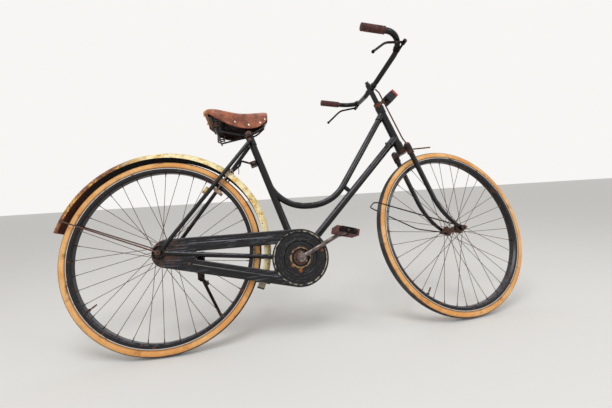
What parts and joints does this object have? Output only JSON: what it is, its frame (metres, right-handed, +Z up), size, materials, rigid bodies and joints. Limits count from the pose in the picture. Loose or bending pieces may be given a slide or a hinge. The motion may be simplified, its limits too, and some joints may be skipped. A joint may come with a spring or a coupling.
{
  "type": "vintage step-through bicycle",
  "caption": "Old open-frame roadster bicycle with curved upper tube, full chain case, sprung leather saddle, rod brakes and rear mudguard, leaning on its side stand.",
  "frame": {"origin": "centre of the bounding box's base, on the floor under the parked bicycle", "axes": "+X forward along the bicycle, +Y to its left, the side it leans to, +Z up from the floor"},
  "size_m": [1.8726, 0.5976, 1.1455],
  "materials": {
    "black_paint": "worn gloss black enamel",
    "case_paint": "worn black enamel on sheet steel",
    "guard_paint": "rusty cream and red-brown enamel",
    "rust_steel": "rusty steel",
    "worn_steel": "dull worn steel",
    "tyre": "tan wall, black tread",
    "rim_paint": "black enamel with a pale line",
    "leather": "worn brown saddle leather",
    "grip_rubber": "ribbed red-brown rubber",
    "pedal_rubber": "aged brown rubber",
    "brake_rubber": "hard black rubber",
    "lamp_plastic": "black plastic",
    "red_lens": "red moulded lens"
  },
  "bodies": {
    "frame": {"head_tube": "black_paint", "head_cups": "worn_steel", "seat_tube": "black_paint", "down_tube": "black_paint", "loop_tube": "black_paint", "tube_strut": "black_paint", "crank_shell": "black_paint", "chain_stays": "black_paint", "seat_stays": "black_paint", "rear_fork_ends": "black_paint", "seat_lug": "black_paint", "stay_bridge": "black_paint", "chain_stay_bridge": "black_paint", "rear_mudguard": "guard_paint", "mudguard_stays": "rust_steel", "rear_axle": "rust_steel", "chain_case": "case_paint", "chain_case_disc": "case_paint", "seat_post": "worn_steel", "saddle_leather": "leather", "saddle_frame": "black_paint", "saddle_springs": "rust_steel", "saddle_rear_plate": "black_paint", "saddle_clamp": "worn_steel", "rear_brake_arm": "rust_steel", "rear_brake_stirrup": "rust_steel", "rear_brake_pads": "brake_rubber", "stay_peg": "guard_paint", "stand_bracket": "black_paint"},
    "steering": {"fork_blades": "black_paint", "fork_crown": "black_paint", "head_locknut": "rust_steel", "front_axle": "rust_steel", "front_stay_loop": "rust_steel", "handlebar": "black_paint", "stem": "black_paint", "grips": "grip_rubber", "brake_levers": "black_paint", "lamp_body": "lamp_plastic", "lamp_lens": "red_lens", "lamp_strap": "worn_steel", "front_brake_rod": "rust_steel", "front_rod_guide": "rust_steel"},
    "front_wheel": {"front_tyre": "tyre", "front_rim": "rim_paint", "front_spokes": "rust_steel", "front_hub": "worn_steel"},
    "rear_wheel": {"rear_tyre": "tyre", "rear_rim": "rim_paint", "rear_spokes": "rust_steel", "rear_hub": "worn_steel"},
    "crank": {"crank_axle": "worn_steel", "right_crank": "worn_steel", "left_crank": "worn_steel", "chain_wheel_boss": "rust_steel"},
    "right_pedal": {"right_pedal_frame": "rust_steel", "right_pedal_blocks": "pedal_rubber"},
    "left_pedal": {"left_pedal_frame": "rust_steel", "left_pedal_blocks": "pedal_rubber"},
    "side_stand": {"stand_leg": "black_paint"}
  },
  "joints": [
    {"name": "steering_turn", "type": "hinge", "parent": "frame", "child": "steering", "pos_m": [0.37972, -0.00587, 0.78706], "axis": [-0.3112, 0.2137, 0.926], "range_deg": [-63.7, 46.3]},
    {"name": "front_wheel_spin", "type": "hinge", "parent": "steering", "child": "front_wheel", "pos_m": [0.58887, -0.10036, 0.3392], "axis": [-0.144, 0.9525, -0.2682], "continuous": true},
    {"name": "rear_wheel_spin", "type": "hinge", "parent": "frame", "child": "rear_wheel", "pos_m": [-0.56351, -0.10872, 0.34273], "axis": [-0.0003, 0.9744, -0.225], "continuous": true},
    {"name": "crank_spin", "type": "hinge", "parent": "frame", "child": "crank", "pos_m": [-0.07258, -0.12199, 0.28465], "axis": [-0.0003, 0.9744, -0.225], "continuous": true},
    {"name": "right_pedal_spin", "type": "hinge", "parent": "crank", "child": "right_pedal", "pos_m": [0.08098, -0.20296, 0.37827], "axis": [-0.0003, 0.9744, -0.225], "continuous": true},
    {"name": "left_pedal_spin", "type": "hinge", "parent": "crank", "child": "left_pedal", "pos_m": [-0.22613, -0.04101, 0.19103], "axis": [-0.0003, 0.9744, -0.225], "continuous": true},
    {"name": "stand_swing", "type": "hinge", "parent": "frame", "child": "side_stand", "pos_m": [-0.4517, -0.0591, 0.22856], "axis": [-0.1917, 0.9794, 0.0636], "range_deg": [0, 108]}
  ]
}
